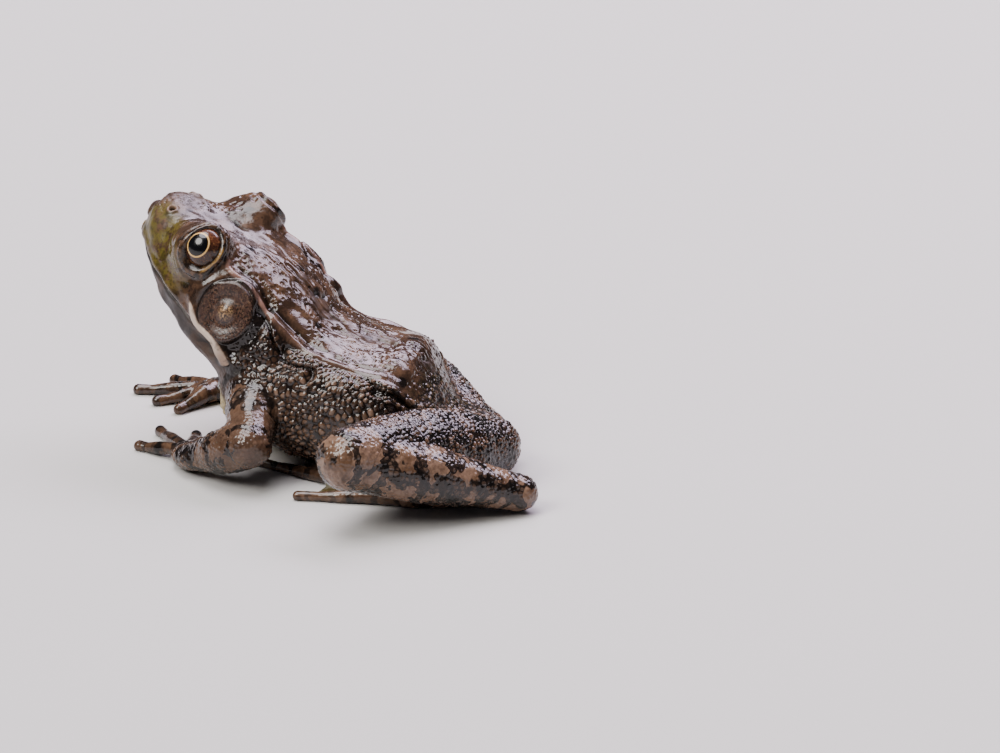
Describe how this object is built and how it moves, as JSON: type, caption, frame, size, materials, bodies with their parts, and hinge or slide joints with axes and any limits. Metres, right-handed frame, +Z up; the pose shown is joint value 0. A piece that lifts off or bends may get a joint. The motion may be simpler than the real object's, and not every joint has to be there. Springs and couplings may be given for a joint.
{
  "type": "green frog",
  "caption": "Life-size green frog in its dark phase, sitting with its head raised, forelegs braced and hind legs folded.",
  "frame": {"origin": "on the floor, under the middle of the bounding box", "axes": "+Z up; the frog faces -Y and its left side is at +X"},
  "size_m": [0.0802, 0.0958, 0.0454],
  "materials": {
    "wet_skin": "wet and glossy",
    "eye": "clear wet gloss",
    "eardrum": "smooth, slightly wet"
  },
  "bodies": {
    "root": {"eardrum_left": "eardrum", "eardrum_right": "eardrum", "eye_left": "eye", "eye_right": "eye", "foot_left": "wet_skin", "foot_right": "wet_skin", "forearm_left": "wet_skin", "forearm_right": "wet_skin", "hand_left": "wet_skin", "hand_right": "wet_skin", "head": "wet_skin", "lower_jaw": "wet_skin", "shank_left": "wet_skin", "shank_right": "wet_skin", "tarsus_left": "wet_skin", "tarsus_right": "wet_skin", "thigh_left": "wet_skin", "thigh_right": "wet_skin", "trunk": "wet_skin", "upper_arm_left": "wet_skin", "upper_arm_right": "wet_skin"}
  },
  "joints": []
}
